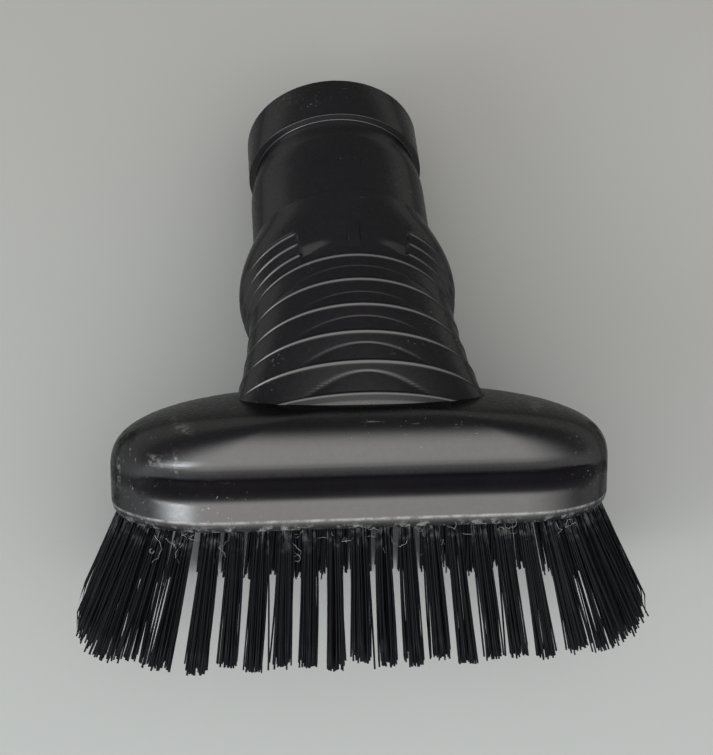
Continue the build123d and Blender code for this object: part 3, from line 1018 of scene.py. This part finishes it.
def floor_material():
    """Pale card, its colour painted a little warmer and darker away from the light as painted shade.
    """
    mat, tree, shader = node_material("floor_card")
    at = position(tree)
    parts = tree.nodes.new("ShaderNodeSeparateXYZ")
    tree.links.new(at, parts.inputs[0])
    near = spread(tree, parts.outputs["Y"], FLOOR_FAR, FLOOR_NEAR)
    tint = mixed(tree, near, FLOOR_SHADED_COLOUR, FLOOR_LIT_COLOUR)
    cloud = ramp(tree, noise(tree, at, 9, 4, 0.55), [(0.3, (0.97,) * 3), (0.7, (1.0,) * 3)])
    tree.links.new(vector(tree, "MULTIPLY", tint, cloud), shader.inputs["Base Color"])
    shader.inputs["Roughness"].default_value = 0.8
    shader.inputs["Specular IOR Level"].default_value = 0.2
    return mat


def dress(obj, material):
    """Gives an object one material."""
    obj.data.materials.clear()
    obj.data.materials.append(material)


BRISTLE = bristle_material()
PLATE = plain_material("moulded_plate", (150, 4, 0.6), (0.018, 0.018, 0.02), (0.05, 0.05, 0.05), 0.6)
LINT = plain_material("pale_lint", (900, 3, 0.5), (0.12, 0.13, 0.12), (0.26, 0.27, 0.26), 0.85)
WIRE = plain_material("anchor_wire", (500, 2, 0.5), (0.45, 0.45, 0.45), (0.6, 0.6, 0.6), 0.35, 1.0)
dress(housing, housing_material())
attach(housing, "root")
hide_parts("housing")
for tuft, name in tufts:
    dress(tuft, BRISTLE)
    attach(tuft, "root")
    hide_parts(name)
dress(lint, LINT)
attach(lint, "root")
dress(frame["nodes"]["bristle_plate"], PLATE)
dress(frame["nodes"]["anchor_wires"], WIRE)

# Floor, light and camera
FLOOR_HALF = 1.5
floor_mesh = bpy.data.meshes.new("floor")
floor_mesh.from_pydata(
    [(x * FLOOR_HALF, y * FLOOR_HALF, 0) for x, y in ((-1, -1), (1, -1), (1, 1), (-1, 1))],
    [],
    [(0, 1, 2, 3)],
)
floor = bpy.data.objects.new("floor", floor_mesh)
bpy.context.scene.collection.objects.link(floor)
dress(floor, floor_material())

# Windows: place, aim, width and height in metres, and power
DAYLIGHT = (0.9, 0.97, 1.0)
SIDE_WINDOW = ((-0.72, -0.6, 0.62), (-0.04, -0.04, 0.04), (0.36, 0.36), 4.6)
LOW_WINDOW = ((-1.06, -0.5, 0.56), (-0.04, -0.03, 0.04), (0.5, 0.5), 3.6)


def window(name, place, target, size, power):
    """A soft rectangular light that faces its target."""
    data = bpy.data.lights.new(name, "AREA")
    data.shape = "RECTANGLE"
    data.size, data.size_y = size
    data.energy = power
    data.color = DAYLIGHT
    obj = bpy.data.objects.new(name, data)
    obj.location = place
    obj.rotation_mode = "QUATERNION"
    obj.rotation_quaternion = (Vector(target) - Vector(place)).to_track_quat("-Z", "Y")
    bpy.context.scene.collection.objects.link(obj)


window("side_window", *SIDE_WINDOW)
window("low_window", *LOW_WINDOW)

GLOW_FROM = (-0.05, -0.652, 0.755)
GLOW_STRETCH = (0.7, 1.0, 1.0)
GLOW_POWER = 3.0
GLOW_STRENGTH = 4.15
ROOM_STRENGTH = 0.11
ROOM_COLOUR = (1.0, 0.982, 0.955, 1)


def soft_room():
    """A dim room with one broad pale glow from above the bristles' side."""
    world = bpy.data.worlds.new("soft_room")
    world.use_nodes = True
    tree = world.node_tree
    heading = tree.nodes.new("ShaderNodeTexCoord").outputs["Generated"]
    squeezed = vector(tree, "NORMALIZE", vector(tree, "MULTIPLY", heading, GLOW_STRETCH))
    ahead = larger(tree, dot_product(tree, squeezed, GLOW_FROM), 0.0)
    glow = number(tree, "POWER", ahead, GLOW_POWER)
    background = tree.nodes["Background"]
    background.inputs["Color"].default_value = ROOM_COLOUR
    strength = number(tree, "MULTIPLY_ADD", glow, GLOW_STRENGTH, ROOM_STRENGTH)
    tree.links.new(strength, background.inputs["Strength"])
    bpy.context.scene.world = world


soft_room()

# The camera's place and turn, in the head's frame: x to the right, d to the front, n up.
CAMERA_AT = (-29.4, 242.9, 67.4)
CAMERA_LOOK = (0.114, -0.978, -0.175)
CAMERA_RIGHT = (0.9933, 0.1154, 0.0)
CAMERA_LENS = 61.99
camera_data = bpy.data.cameras.new("camera")
camera_data.sensor_width = 36
camera_data.lens = CAMERA_LENS
camera_data.clip_start, camera_data.clip_end = 0.01, 10
camera = bpy.data.objects.new("camera", camera_data)
bpy.context.scene.collection.objects.link(camera)


def direction(v):
    """A heading in the head's frame as one of the loaded frame."""
    return (Vector((v[0], 0, 0)) + FRONT * v[1] + UP * v[2]).normalized()


look = direction(CAMERA_LOOK)
right = direction(CAMERA_RIGHT)
top = right.cross(look).normalized()
right = look.cross(top).normalized()
turn = Matrix((right, top, -look)).transposed()
camera.rotation_mode = "QUATERNION"
camera.rotation_quaternion = turn.to_quaternion()
camera.location = Vector(to_row([CAMERA_AT])[0])
bpy.context.scene.camera = camera
bpy.context.scene.view_settings.view_transform = "Standard"
